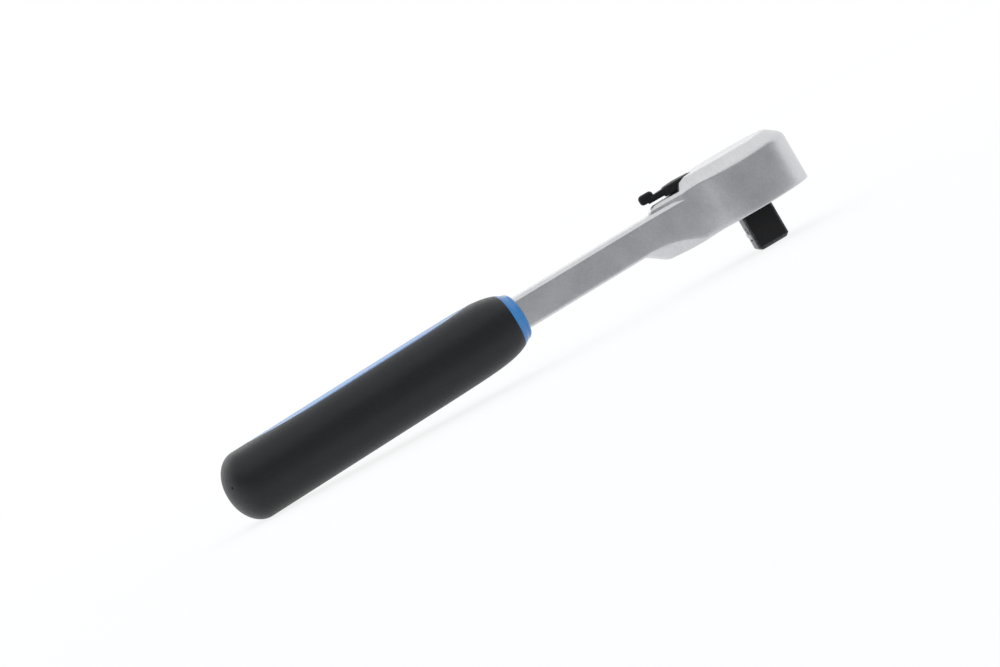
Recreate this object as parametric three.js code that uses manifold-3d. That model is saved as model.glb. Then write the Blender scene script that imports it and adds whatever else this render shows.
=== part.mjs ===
// Reversible ratchet with a half-inch square drive.
// Millimetres, +Z up along the drive's axis, origin at the middle of the square's end face,
// handle toward -X.

import * as THREE from 'three';
import { mergeVertices } from 'three/addons/utils/BufferGeometryUtils.js';
import Module from 'manifold-3d';

const wasm = await Module();
wasm.setup();

// Fits
const gap = 0.3;
const gearPlay = 0.4;
const overlap = 1;
const reach = 60;

// Square drive
const driveSide = 12.7;
const driveLength = 15;
const driveEdge = 0.8;
const driveTipBevel = 1.1;
const driveClock = THREE.MathUtils.degToRad(-10);

// Ball that holds the socket
const ballRadius = 2.4;
const ballProud = 1;
const ballHeight = 7;
const ballTravel = 0.9;
const ballSpringLength = 5.2;
const ballSpringTurns = 5;
const ballSpringWire = 0.5;

// Head
const headRadius = 23.5;
const headHeight = 23.7;
const headBevelRise = 4.3;
const headBevelRun = 5.8;
const headFoot = 0.6;

// Flare, neck and tang
const flareRadius = 40;
const neckHalfWidth = 6.5;
const neckRise = 5.3;
const neckThickness = 12.4;
const neckChamfer = 1.2;
const neckFoot = 0.5;
const neckEnd = -101;
const tangEnd = -188;
const tangHalfWidth = 5.6;
const tangThickness = 9;

// Rear wall of the head's lower half, a parabola at each end of its height
const bossToe = -38.6;
const bossToeSpread = 0.13;
const bossHeel = -45.5;
const bossHeelSpread = 0.156;
const bossHalfSpan = 10.4;

// Wheel
const toothCount = 48;
const gearTipRadius = 12.4;
const toothDepth = 0.85;
const toothLand = 0.25;
const gearHeight = 12;
const journalRadius = 7.6;
const journalHeight = 3.5;
const lowerJournalRadius = 9.2;

// Friction ring on the upper journal
const dragRingWire = 0.45;
const dragRingGroove = 1.2;

// Cover and its screws
const coverRecess = 0.3;
const coverThickness = 2.2;
const coverRadius = 18.3;
const coverTailRadius = 3.6;
const screwCircle = 15.2;
const screwAngle = Math.PI / 4;
const screwRadius = 1.5;
const screwHeadRadius = 2.7;
const screwLength = 9;
const screwSocket = 1.1;
const screwSocketDepth = 1.1;
const screwSink = 0.1;

// Pawl
const pawlPivot = 15.6;
const pawlPinRadius = 1.1;
const pawlPinSeat = 2.4;
const pawlRock = THREE.MathUtils.degToRad(4.2);
const pawlBack = 2.3;
const pawlLift = 1;
const pawlSpan = 9.3;
const pawlNose = 7.9;
const pawlRelief = 4.6;
const pawlSteps = 6;
const pawlPocketFront = 3;
const pawlPocketShoulder = 0.9;

// Reversing lever and its shaft
const leverPivot = 22.2;
const leverRest = THREE.MathUtils.degToRad(-20);
const hubRadius = 5.8;
const hubHeight = 3.5;
const hubChamfer = 0.8;
const shelfDrop = 3.6;
const shelfStart = 2.8;
const shelfSlope = 3;
const shaftRadius = 2.8;
const shaftGroove = 0.6;
const armLength = 11;
const armHalfWidth = 2.2;
const armRootHalfWidth = 4.8;
const armLift = 1.2;
const armThickness = 2.4;
const knobHalfLength = 3;
const knobHalfWidth = 2.3;
const knobHeight = 3.5;
const knobRound = 1.4;

// Raised shelf under the lever
const shelfTail = 31.3;
const shelfTailRadius = 3;
const shelfEnd = 32;
const shelfRamp = 4;

// Ring that keeps the shaft from lifting
const keeperThickness = 0.8;
const keeperRadius = 4.5;
const keeperMouth = 1.7;

// Plunger in the shaft
const plungerRadius = 1.05;
const plungerReach = 4;
const plungerTail = 1.3;
const plungerTravel = 0.5;
const plungerSpringWire = 0.25;
const plungerSpringTurns = 5;
const plungerSpringLength = 2.3;

// Handle
const handleRear = -223.9;
const handleFront = -98.2;
const gripFront = -102.1;
const gripHalfHeight = 13.5;
const frontDrop = 5.7;
const frontEase = 6;
const rearLength = 9.7;
const handleDrop = 0.3;
const handleTilt = THREE.MathUtils.degToRad(1.1);
const handleWidthRatio = 1.18;
const handleSquareness = 2.3;
const gripThickness = 2.6;
const inlayRear = -211;
const inlayFront = -115;
const inlayHalfWidth = 6.5;

// Fineness of the round shapes
const headSides = 64;
const boreSides = 40;
const smallSides = 18;
const wireSides = 8;
const handleSides = 32;
const handleSteps = 14;
const rearSteps = 8;
const flareSteps = 14;
const bossSteps = 20;
const roundSteps = 5;
const ringSides = 28;
const plungerSides = 14;

// Heights that follow from the sizes above
const headBottom = driveLength;
const headTop = headBottom + headHeight;
const headShoulder = headTop - headBevelRise;
const coverBottom = headBottom + coverRecess;
const coverTop = coverBottom + coverThickness;
const gearBottom = coverTop + gap;
const gearTop = gearBottom + gearHeight;
const boreTop = gearTop + gap;
const journalTop = gearTop + journalHeight;
const neckBottom = headBottom + neckRise;
const neckTop = neckBottom + neckThickness;
const neckMiddle = (neckBottom + neckTop) / 2;
const handleMiddle = neckMiddle - handleDrop;
const shelfHeight = headTop - shelfDrop;
const keeperTop = boreTop - gap;
const keeperBottom = keeperTop - keeperThickness;
const pawlBottom = gearBottom + pawlLift;
const pawlTop = keeperBottom - gap;
const plungerHeight = (pawlBottom + pawlTop) / 2;

// Other places that follow
const boreRadius = gearTipRadius + gearPlay;
const shaftBore = shaftRadius + gap;
const keeperRoom = keeperRadius + gap + gap;
const tailScrew = leverPivot + keeperRoom + screwRadius + gap + overlap;
const screwPlaces = {
  cover_screw_front_left: [screwCircle * Math.cos(screwAngle), screwCircle * Math.sin(screwAngle)],
  cover_screw_front_right: [screwCircle * Math.cos(screwAngle), -screwCircle * Math.sin(screwAngle)],
  cover_screw_tail: [-tailScrew, 0],
};

// Closed mesh as a solid
function solid(geometry) {
  geometry.deleteAttribute('normal');
  geometry.deleteAttribute('uv');
  const merged = mergeVertices(geometry, 1e-4);
  const vertProperties = new Float32Array(merged.attributes.position.array);
  const triVerts = new Uint32Array(merged.index.array);
  return new wasm.Manifold(new wasm.Mesh({ numProp: 3, vertProperties, triVerts }));
}

// Upright prism of a list of plan points
function prism(points, bottom, top) {
  const geometry = new THREE.ExtrudeGeometry(new THREE.Shape(points), {
    depth: top - bottom,
    bevelEnabled: false,
  });
  return solid(geometry.translate(0, 0, bottom));
}

// Prism whose outline changes evenly from the lower list of points to the upper one
function taperedPrism(lower, upper, bottom, top) {
  const geometry = new THREE.ExtrudeGeometry(new THREE.Shape(lower), { depth: 1, bevelEnabled: false });
  const position = geometry.attributes.position;
  for (let v = 0; v < position.count; v += 1) {
    const place = new THREE.Vector2(position.getX(v), position.getY(v));
    const height = position.getZ(v);
    const k = lower.findIndex((point) => point.distanceTo(place) < 1e-4);
    const point = height > 0.5 ? upper[k] : lower[k];
    position.setXYZ(v, point.x, point.y, height > 0.5 ? top : bottom);
  }
  return solid(geometry);
}

// Prism of a side outline, points in X and Z, from one Y to the other
function sidePrism(points, halfWidth) {
  const geometry = new THREE.ExtrudeGeometry(new THREE.Shape(points), {
    depth: 2 * halfWidth,
    bevelEnabled: false,
  });
  return solid(geometry.translate(0, 0, -halfWidth).rotateX(Math.PI / 2));
}

// Upright cylinder
function disc(radius, bottom, top, x = 0, y = 0, sides = boreSides) {
  const geometry = new THREE.CylinderGeometry(radius, radius, top - bottom, sides);
  return solid(geometry.rotateX(Math.PI / 2).translate(x, y, (bottom + top) / 2));
}

// Turned piece about Z, profile points are radius and height
function turned(points, sides = boreSides) {
  return solid(new THREE.LatheGeometry(points, sides).rotateX(Math.PI / 2));
}

// Closed skin along X, section gives the point's Y and Z at a station and a turn
function skin(stations, sides, section) {
  const rows = stations.length - 1;
  const geometry = new THREE.CylinderGeometry(1, 1, 1, sides, rows);
  const position = geometry.attributes.position;
  for (let v = 0; v < position.count; v += 1) {
    const row = Math.round((position.getY(v) + 0.5) * rows);
    const turn = Math.atan2(position.getX(v), position.getZ(v));
    const centre = Math.hypot(position.getX(v), position.getZ(v)) < 0.5;
    const [y, z] = section(stations[row], turn, centre);
    position.setXYZ(v, stations[row], y, z);
  }
  return solid(geometry);
}

// Helical spring along +X from the start
function coil(radius, wire, turns, start, length, height) {
  const steps = turns * wireSides;
  const points = [];
  for (let i = 0; i <= steps; i += 1) {
    const turn = (2 * Math.PI * turns * i) / steps;
    const along = start + wire / 2 + ((length - wire) * i) / steps;
    points.push(new THREE.Vector3(along, radius * Math.cos(turn), height + radius * Math.sin(turn)));
  }
  const section = new THREE.Shape();
  section.absarc(0, 0, wire / 2, 0, 2 * Math.PI);
  const geometry = new THREE.ExtrudeGeometry(section, {
    steps,
    curveSegments: 3,
    extrudePath: new THREE.CatmullRomCurve3(points),
    bevelEnabled: false,
  });
  return solid(geometry);
}

// Cylinder lying along X
function rod(radius, from, to, height, sides = smallSides) {
  const geometry = new THREE.CylinderGeometry(radius, radius, to - from, sides);
  return solid(geometry.rotateZ(Math.PI / 2).translate((from + to) / 2, 0, height));
}

function points2(list) {
  return list.map(([a, b]) => new THREE.Vector2(a, b));
}

function degrees(angle) {
  return THREE.MathUtils.radToDeg(angle);
}

function mirrored(list) {
  const other = list.filter(([, y]) => y !== 0).map(([x, y]) => [x, -y]);
  return points2([...list, ...other.reverse()]);
}

// Half width of the flare between the head's circle and the straight neck
const flareCentreY = neckHalfWidth + flareRadius;
const flareCentreX = -Math.sqrt((headRadius + flareRadius) ** 2 - flareCentreY ** 2);
const flareStart = flareCentreX * (headRadius / (headRadius + flareRadius));
function flareHalfWidth(x) {
  if (x < flareCentreX) {
    return neckHalfWidth;
  }
  return flareCentreY - Math.sqrt(flareRadius ** 2 - (x - flareCentreX) ** 2);
}

// Plan outline of a large round joined by straight sides to a small one at -X
function hullOutline(radius, tailRadius, tail, sides) {
  const lean = Math.asin((radius - tailRadius) / tail);
  const half = Math.PI / 2 + lean;
  const list = [];
  for (let i = 0; i <= sides; i += 1) {
    const turn = -half + (2 * half * i) / sides;
    list.push([radius * Math.cos(turn), radius * Math.sin(turn)]);
  }
  const tailSteps = Math.round(sides / 3);
  for (let i = 0; i <= tailSteps; i += 1) {
    const turn = half + (2 * (Math.PI - half) * i) / tailSteps;
    list.push([-tail + tailRadius * Math.cos(turn), tailRadius * Math.sin(turn)]);
  }
  return points2(list);
}

// Plan of the forging from inside the head to behind the flare
function flareOutline(from, to) {
  const list = [];
  for (let i = 0; i <= flareSteps; i += 1) {
    const x = from + ((to - from) * i) / flareSteps;
    list.push([x, -flareHalfWidth(x)]);
  }
  return mirrored(list);
}

// Parabola across the underside, open toward the head
function bossOutline(toe, spread) {
  const list = [];
  for (let i = 0; i <= bossSteps; i += 1) {
    const y = -bossHalfSpan + (2 * bossHalfSpan * i) / bossSteps;
    list.push([toe + spread * y * y, y]);
  }
  const corner = toe + spread * bossHalfSpan ** 2;
  list.push([corner, headRadius], [0, headRadius], [0, -headRadius], [corner, -headRadius]);
  return points2(list);
}

// Wheel outline, grown by an offset on every flank
function gearOutline(grow) {
  const pitch = (2 * Math.PI) / toothCount;
  const tip = gearTipRadius + grow;
  const root = gearTipRadius - toothDepth + grow;
  const tipHalf = toothLand / 2 / gearTipRadius + grow / tip / 2;
  const rootHalf = pitch / 2 - toothLand / 2 / gearTipRadius + grow / root / 2;
  const list = [];
  for (let i = 0; i < toothCount; i += 1) {
    const middle = i * pitch;
    for (const [radius, turn] of [[root, -rootHalf], [tip, -tipHalf], [tip, tipHalf], [root, rootHalf]]) {
      list.push([radius * Math.cos(middle + turn), radius * Math.sin(middle + turn)]);
    }
  }
  return points2(list);
}

// Screw profile, radius and height, grown for its hole
function screwProfile(grow) {
  const head = coverBottom + screwSink;
  const cone = screwHeadRadius - screwRadius;
  return points2([
    [0, grow > 0 ? headBottom - overlap : head],
    [screwHeadRadius + grow, grow > 0 ? headBottom - overlap : head],
    [screwHeadRadius + grow, head],
    [screwRadius + grow, head + cone],
    [screwRadius + grow, head + screwLength + grow],
    [0, head + screwLength + grow],
  ].filter(([r, z], i, all) => i === 0 || r !== all[i - 1][0] || z !== all[i - 1][1]));
}

// Forging
const neckStations = [];
for (let i = 0; i <= flareSteps; i += 1) {
  neckStations.push(flareCentreX + ((flareStart + overlap - flareCentreX) * i) / flareSteps);
}
neckStations.unshift(neckEnd);
function neckSection(x, turn, centre) {
  const half = Math.min(flareHalfWidth(x), flareHalfWidth(flareStart));
  if (centre) {
    return [0, neckMiddle];
  }
  const inner = half - neckChamfer;
  const foot = half - neckFoot;
  const low = neckBottom + neckFoot;
  const high = neckTop - neckChamfer;
  const corners = [
    [half, low], [half, high], [inner, neckTop], [-inner, neckTop],
    [-half, high], [-half, low], [-foot, neckBottom], [foot, neckBottom],
  ];
  return corners[(Math.round((4 * turn) / Math.PI) + 8) % 8];
}

function ratchetBody() {
  const head = turned(points2([
    [0, headBottom], [headRadius - headFoot, headBottom], [headRadius, headBottom + headFoot],
    [headRadius, headShoulder], [headRadius - headBevelRun, headTop], [0, headTop],
  ]), headSides);
  const neck = skin(neckStations, 8, neckSection);
  const tang = leaned(prism(points2([
    [tangEnd, -tangHalfWidth], [neckEnd + overlap, -tangHalfWidth],
    [neckEnd + overlap, tangHalfWidth], [tangEnd, tangHalfWidth],
  ]), neckMiddle - tangThickness / 2, neckMiddle + tangThickness / 2));
  const plan = flareOutline(flareStart + overlap, bossHeel - overlap);
  const boss = taperedPrism(
    bossOutline(bossToe, bossToeSpread),
    bossOutline(bossHeel, bossHeelSpread),
    headBottom,
    neckBottom + overlap,
  ).intersect(prism(plan, headBottom, neckBottom + overlap));
  const shelf = taperedPrism(
    hullOutline(headRadius, shelfTailRadius, shelfTail, headSides),
    hullOutline(headRadius - headBevelRun, shelfTailRadius - shelfTailRadius / 3, shelfTail, headSides),
    headShoulder,
    headTop,
  ).add(prism(hullOutline(headRadius, shelfTailRadius, shelfTail, headSides), neckMiddle, headShoulder))
    .intersect(prism(plan, neckMiddle, headTop + overlap));
  const step = leverPivot + shelfStart;
  const shelfCut = sidePrism(points2([
    [-step, shelfHeight], [-step + shelfSlope, headTop], [-step + shelfSlope, headTop + reach],
    [-reach, headTop + reach], [-reach, neckTop + gap],
    [-shelfEnd - shelfRamp, neckTop + gap], [-shelfEnd, shelfHeight],
  ]), headRadius);
  const screwHoles = Object.values(screwPlaces).map(([x, y]) => (
    turned(screwProfile(gap), smallSides).translate([x, y, 0])
  ));
  let body = head.add(neck).add(tang).add(boss).add(shelf.subtract(shelfCut));
  const cuts = [
    disc(hubRadius + gap, shelfHeight, headTop + overlap, -leverPivot),
    disc(shaftBore, gearBottom, headTop, -leverPivot, 0, smallSides),
    disc(keeperRoom, gearBottom, boreTop, -leverPivot, 0, boreSides),
    disc(boreRadius, headBottom - overlap, boreTop),
    disc(journalRadius + gap, gearBottom, journalTop + gap),
    disc(pawlPinRadius + gap, gearBottom, boreTop + pawlPinSeat, -pawlPivot, 0, smallSides),
    prism(pawlPocket(), gearBottom, boreTop),
    prism(coverOutline(gap), headBottom - overlap, gearBottom),
    sidePrism(points2([
      [-step, shelfHeight], [-step + shelfSlope, headTop], [-step + shelfSlope, headTop + overlap],
      [-reach, headTop + overlap], [-reach, shelfHeight],
    ]), headRadius),
    ...screwHoles,
  ];
  for (const cut of cuts) {
    body = body.subtract(cut);
  }
  return body;
}

// Cover plate outline and the room for the rocking pawl
function coverOutline(grow) {
  return hullOutline(coverRadius + grow, coverTailRadius + grow, tailScrew, boreSides);
}

function pawlPocket() {
  const room = 2 * gap + pawlSpan * pawlRock;
  const back = leverPivot - shaftRadius;
  return mirrored([
    [-boreRadius / 2, -pawlSpan - room],
    [-pawlPivot + pawlPocketFront, -pawlSpan - room],
    [-pawlPivot - pawlPocketShoulder, -pawlNose - room],
    [-back, -keeperRoom - room],
    [-leverPivot, -keeperRoom],
    [-leverPivot, keeperRoom],
  ].filter(([, y]) => y < 0));
}

function bottomCover() {
  let cover = prism(coverOutline(0), coverBottom, coverTop);
  cover = cover.subtract(disc(lowerJournalRadius + gap, headBottom, coverTop + overlap));
  for (const [x, y] of Object.values(screwPlaces)) {
    cover = cover.subtract(turned(screwProfile(gap), smallSides).translate([x, y, 0]));
  }
  return cover;
}

function coverScrew([x, y]) {
  const socket = disc(screwSocket, headBottom, coverBottom + screwSocketDepth, 0, 0, 6);
  return turned(screwProfile(0), smallSides).subtract(socket).translate([x, y, 0]);
}

// Wheel, journals and square
function squareOutline(inset) {
  const half = driveSide / 2 - inset;
  const flat = half - driveEdge;
  return points2([
    [half, -flat], [half, flat], [flat, half], [-flat, half],
    [-half, flat], [-half, -flat], [-flat, -half], [flat, -half],
  ]);
}

function driveGear() {
  const square = taperedPrism(squareOutline(driveTipBevel), squareOutline(0), 0, driveTipBevel)
    .add(prism(squareOutline(0), driveTipBevel, headBottom + overlap));
  const ballBore = rod(ballRadius + gap, -driveSide, ballSpringEnd() + ballTravel + gap, ballHeight);
  const turnedSquare = square.subtract(ballBore).rotate([0, 0, degrees(driveClock)]);
  const groove = (journalHeight - dragRingGroove) / 2;
  const journal = turned(points2([
    [0, coverBottom], [lowerJournalRadius, coverBottom], [lowerJournalRadius, gearBottom + overlap],
    [journalRadius, gearBottom + overlap], [journalRadius, gearTop + groove],
    [journalRadius - dragRingGroove, gearTop + groove],
    [journalRadius - dragRingGroove, journalTop - groove],
    [journalRadius, journalTop - groove], [journalRadius, journalTop], [0, journalTop],
  ]));
  return prism(gearOutline(0), gearBottom, gearTop).add(journal).add(turnedSquare);
}

function dragRing() {
  const middle = gearTop + journalHeight / 2;
  const ringRadius = journalRadius + gap - dragRingWire - gap / 2;
  const list = [];
  for (let i = 0; i < wireSides; i += 1) {
    const turn = (2 * Math.PI * i) / wireSides;
    list.push([ringRadius + dragRingWire * Math.cos(turn), middle + dragRingWire * Math.sin(turn)]);
  }
  list.push(list[0]);
  return turned(points2(list));
}

// Ball and spring in the square's handle-side face
function ballCentre() {
  return -(driveSide / 2 + ballProud - ballRadius);
}

function ballSpringStart() {
  return ballCentre() + ballRadius + gap;
}

function ballSpringEnd() {
  return ballSpringStart() + ballSpringLength;
}

function detentBall() {
  const ball = solid(new THREE.SphereGeometry(ballRadius, smallSides, wireSides + 2));
  return ball.translate([ballCentre(), 0, ballHeight]).rotate([0, 0, degrees(driveClock)]);
}

function detentSpring() {
  const radius = ballRadius - ballSpringWire;
  const spring = coil(
    radius, ballSpringWire, ballSpringTurns, ballSpringStart(), ballSpringLength, ballHeight,
  );
  return spring.rotate([0, 0, degrees(driveClock)]);
}

// Rocking pawl, cut by the wheel at each step of its swing
function pawl() {
  const shoulder = -pawlPivot + pawlBack / 2;
  const blank = prism(mirrored([
    [-pawlNose - gap, -pawlNose],
    [-pawlPivot + 2 * pawlBack, -pawlSpan],
    [shoulder, -pawlNose + gap],
    [-pawlPivot - pawlBack + gap, -pawlRelief],
    [-pawlPivot - pawlBack, -pawlBack],
  ]), pawlBottom, pawlTop);
  const relief = disc(boreRadius + gap, gearBottom, gearTop)
    .intersect(prism(points2([
      [-reach, -pawlRelief], [reach, -pawlRelief], [reach, pawlRelief], [-reach, pawlRelief],
    ]), gearBottom, gearTop));
  let rocker = blank;
  for (let i = 0; i <= pawlSteps; i += 1) {
    const rock = -pawlRock + (2 * pawlRock * i) / pawlSteps;
    const wheel = prism(gearOutline(gap), gearBottom, gearTop).translate([pawlPivot, 0, 0]);
    rocker = rocker.subtract(wheel.rotate([0, 0, -degrees(rock)]).translate([-pawlPivot, 0, 0]));
  }
  rocker = rocker.subtract(relief);
  rocker = rocker.subtract(disc(pawlPinRadius + gap, gearBottom, gearTop, -pawlPivot, 0, smallSides));
  rocker = rocker.translate([pawlPivot, 0, 0]).rotate([0, 0, degrees(pawlRock)]);
  return rocker.translate([-pawlPivot, 0, 0]);
}

function pawlPin() {
  return disc(pawlPinRadius, coverTop + gap, boreTop + pawlPinSeat - gap, -pawlPivot, 0, smallSides);
}

// Lever, made pointing straight back and turned to its rest
function atLever(piece) {
  return piece.rotate([0, 0, degrees(leverRest)]).translate([-leverPivot, 0, 0]);
}

function capsule(halfLength, halfWidth, x) {
  const outline = new THREE.Shape();
  const run = halfLength - halfWidth;
  outline.absarc(x + run, 0, halfWidth, -Math.PI / 2, Math.PI / 2);
  outline.absarc(x - run, 0, halfWidth, Math.PI / 2, (3 * Math.PI) / 2);
  return outline;
}

function reversingLever() {
  const hubBottom = shelfHeight + gap;
  const hubTop = hubBottom + hubHeight;
  const hub = turned(points2([
    [0, hubBottom], [hubRadius, hubBottom], [hubRadius, hubTop - hubChamfer],
    [hubRadius - hubChamfer, hubTop], [0, hubTop],
  ]));
  const armBottom = shelfHeight + armLift;
  const armTop = armBottom + armThickness;
  const arm = prism(mirrored([
    [0, -armRootHalfWidth], [-armLength, -armHalfWidth],
  ]), armBottom, armTop);
  const knobBottom = armTop - knobRound;
  const knobShape = capsule(knobHalfLength - knobRound, knobHalfWidth - knobRound, -armLength);
  const knobGeometry = new THREE.ExtrudeGeometry(knobShape, {
    depth: knobHeight - 2 * knobRound,
    bevelThickness: knobRound,
    bevelSize: knobRound,
    bevelSegments: 3,
    curveSegments: 8,
  });
  const knob = solid(knobGeometry.translate(0, 0, knobBottom + knobRound));
  const grooveTop = keeperTop + gap / 2;
  const grooveBottom = keeperBottom - gap / 2;
  const shaft = turned(points2([
    [0, coverTop + gap], [shaftRadius, coverTop + gap], [shaftRadius, grooveBottom],
    [shaftRadius - shaftGroove, grooveBottom], [shaftRadius - shaftGroove, grooveTop],
    [shaftRadius, grooveTop], [shaftRadius, hubBottom + overlap], [0, hubBottom + overlap],
  ]), smallSides);
  const boreEnd = plungerSpringStart() - plungerTravel - gap;
  const bore = rod(plungerRadius + gap, boreEnd, shaftRadius + overlap, plungerHeight, plungerSides);
  return atLever(hub.add(arm).add(knob).add(shaft).subtract(bore));
}

function plungerSpringStart() {
  return plungerTail - gap - plungerSpringLength;
}

function pawlPlunger() {
  const round = plungerReach - plungerRadius;
  const list = [[0, plungerTail], [plungerRadius, plungerTail]];
  for (let i = 0; i <= roundSteps; i += 1) {
    const turn = (Math.PI / 2) * (i / roundSteps);
    list.push([plungerRadius * Math.cos(turn), round + plungerRadius * Math.sin(turn)]);
  }
  list[list.length - 1][0] = 0;
  const geometry = new THREE.LatheGeometry(points2(list), plungerSides);
  return atLever(solid(geometry.rotateZ(-Math.PI / 2).translate(0, 0, plungerHeight)));
}

function plungerSpring() {
  const radius = plungerRadius - plungerSpringWire;
  return atLever(coil(
    radius, plungerSpringWire, plungerSpringTurns, plungerSpringStart(), plungerSpringLength, plungerHeight,
  ));
}

function leverRetainingRing() {
  const inner = shaftRadius - shaftGroove + gap;
  const ring = disc(keeperRadius, keeperBottom, keeperTop, 0, 0, ringSides)
    .subtract(disc(inner, keeperBottom - overlap, keeperTop + overlap, 0, 0, smallSides));
  const mouth = prism(points2([
    [-reach, -keeperMouth], [0, -keeperMouth], [0, keeperMouth], [-reach, keeperMouth],
  ]), keeperBottom - overlap, keeperTop + overlap);
  return atLever(ring.subtract(mouth));
}

// Handle: half height along X, drawn in by an inset. The rear end is half an ellipse, and the side
// falls toward the front by a drop that halves again and again going back from it
function handleProfile(inset) {
  const rear = handleRear + inset;
  const high = gripHalfHeight - inset;
  const list = [];
  for (let i = 0; i <= rearSteps; i += 1) {
    const turn = (Math.PI / 2) * (i / rearSteps);
    list.push([high * Math.sin(turn), rear + (rearLength - inset) * (1 - Math.cos(turn))]);
  }
  const start = handleRear + rearLength;
  for (let i = 1; i <= handleSteps; i += 1) {
    const share = 1 - (1 - i / handleSteps) ** 2;
    const x = start + (handleFront - start) * share;
    list.push([high - frontDrop * Math.exp((x - handleFront) / frontEase), x]);
  }
  list.push([0, handleFront]);
  return list;
}

function handleSkin(inset) {
  const geometry = new THREE.LatheGeometry(points2(handleProfile(inset)), handleSides);
  geometry.rotateZ(-Math.PI / 2);
  const position = geometry.attributes.position;
  for (let v = 0; v < position.count; v += 1) {
    const y = position.getY(v);
    const z = position.getZ(v);
    const radius = Math.hypot(y, z);
    const turn = Math.atan2(z, y);
    const across = Math.abs(Math.cos(turn)) ** handleSquareness;
    const upward = Math.abs(Math.sin(turn)) ** handleSquareness;
    const stretch = (across + upward) ** (-1 / handleSquareness);
    const width = radius * stretch * Math.cos(turn) * handleWidthRatio;
    position.setXYZ(v, position.getX(v), width, handleMiddle + radius * stretch * Math.sin(turn));
  }
  return solid(geometry);
}

// Handle and tang lean down toward the rear from the collar's front
function leaned(piece) {
  return piece.translate([-handleFront, 0, -neckMiddle])
    .rotate([0, -degrees(handleTilt), 0])
    .translate([handleFront, 0, neckMiddle]);
}

// Blue moulding before its tang hole: core, collar and top inlay, grown where the grip must clear it
function coreForm(outer, grow) {
  const inner = handleSkin(gripThickness - grow);
  const collar = prism(points2([
    [gripFront - grow, -reach], [handleFront + overlap, -reach],
    [handleFront + overlap, reach], [gripFront - grow, reach],
  ]), -reach, 2 * reach);
  const halfLength = (inlayFront - inlayRear) / 2 + grow;
  const middle = (inlayFront + inlayRear) / 2;
  const pill = capsule(halfLength, inlayHalfWidth + grow, middle);
  const inlay = prism(pill.getPoints(8), handleMiddle, 2 * reach);
  return inner.add(outer.intersect(collar)).add(outer.intersect(inlay));
}

function handleCore() {
  const outer = handleSkin(0);
  const room = tangHalfWidth + gap;
  const tangRoom = prism(points2([
    [tangEnd - gap, -room], [neckEnd, -room], [neckEnd, room], [tangEnd - gap, room],
  ]), neckMiddle - tangThickness / 2 - gap, neckMiddle + tangThickness / 2 + gap);
  const neckRoom = skin([neckEnd - gap, neckEnd + reach], 8, (x, turn, centre) => {
    const [y, z] = neckSection(neckEnd, turn, centre);
    return [y + Math.sign(y) * gap, z + Math.sign(z - neckMiddle) * gap];
  });
  return leaned(coreForm(outer, 0).subtract(tangRoom)).subtract(neckRoom);
}

function gripShell() {
  return leaned(handleSkin(0).subtract(coreForm(handleSkin(-overlap), gap)));
}

// Finishes
const satinChrome = { color: 0x9c9da1, roughness: 0.42, metalness: 0.9 };
const blackSteel = { color: 0x1c1c1d, roughness: 0.5, metalness: 0.6 };
const brightSteel = { color: 0xb9bcc0, roughness: 0.28, metalness: 1 };
const blueHard = { color: 0x2f7fc4, roughness: 0.45, metalness: 0 };
const blackSoft = { color: 0x242528, roughness: 0.7, metalness: 0 };
const darkRubber = { color: 0x18181a, roughness: 0.8, metalness: 0 };

const ratchet = new THREE.Group();
ratchet.name = 'reversible_ratchet';

function place(name, piece, finish) {
  const mesh = piece.getMesh();
  const geometry = new THREE.BufferGeometry();
  geometry.setAttribute('position', new THREE.Float32BufferAttribute(mesh.vertProperties, 3));
  geometry.setIndex(Array.from(mesh.triVerts));
  geometry.computeVertexNormals();
  const object = new THREE.Mesh(geometry, new THREE.MeshStandardMaterial(finish));
  object.name = name;
  ratchet.add(object);
}

place('ratchet_body', ratchetBody(), satinChrome);
place('drive_gear', driveGear(), blackSteel);
place('drag_ring', dragRing(), darkRubber);
place('detent_ball', detentBall(), brightSteel);
place('detent_spring', detentSpring(), brightSteel);
place('bottom_cover', bottomCover(), blackSteel);
for (const [name, spot] of Object.entries(screwPlaces)) {
  place(name, coverScrew(spot), blackSteel);
}
place('pawl', pawl(), brightSteel);
place('pawl_pin', pawlPin(), brightSteel);
place('reversing_lever', reversingLever(), blackSteel);
place('pawl_plunger', pawlPlunger(), brightSteel);
place('plunger_spring', plungerSpring(), brightSteel);
place('lever_retaining_ring', leverRetainingRing(), brightSteel);
place('handle_core', handleCore(), blueHard);
place('grip_shell', gripShell(), blackSoft);

export default ratchet;
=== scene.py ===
import math

import bmesh
import bpy
import numpy as np
from mathutils import Matrix, Vector


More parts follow.
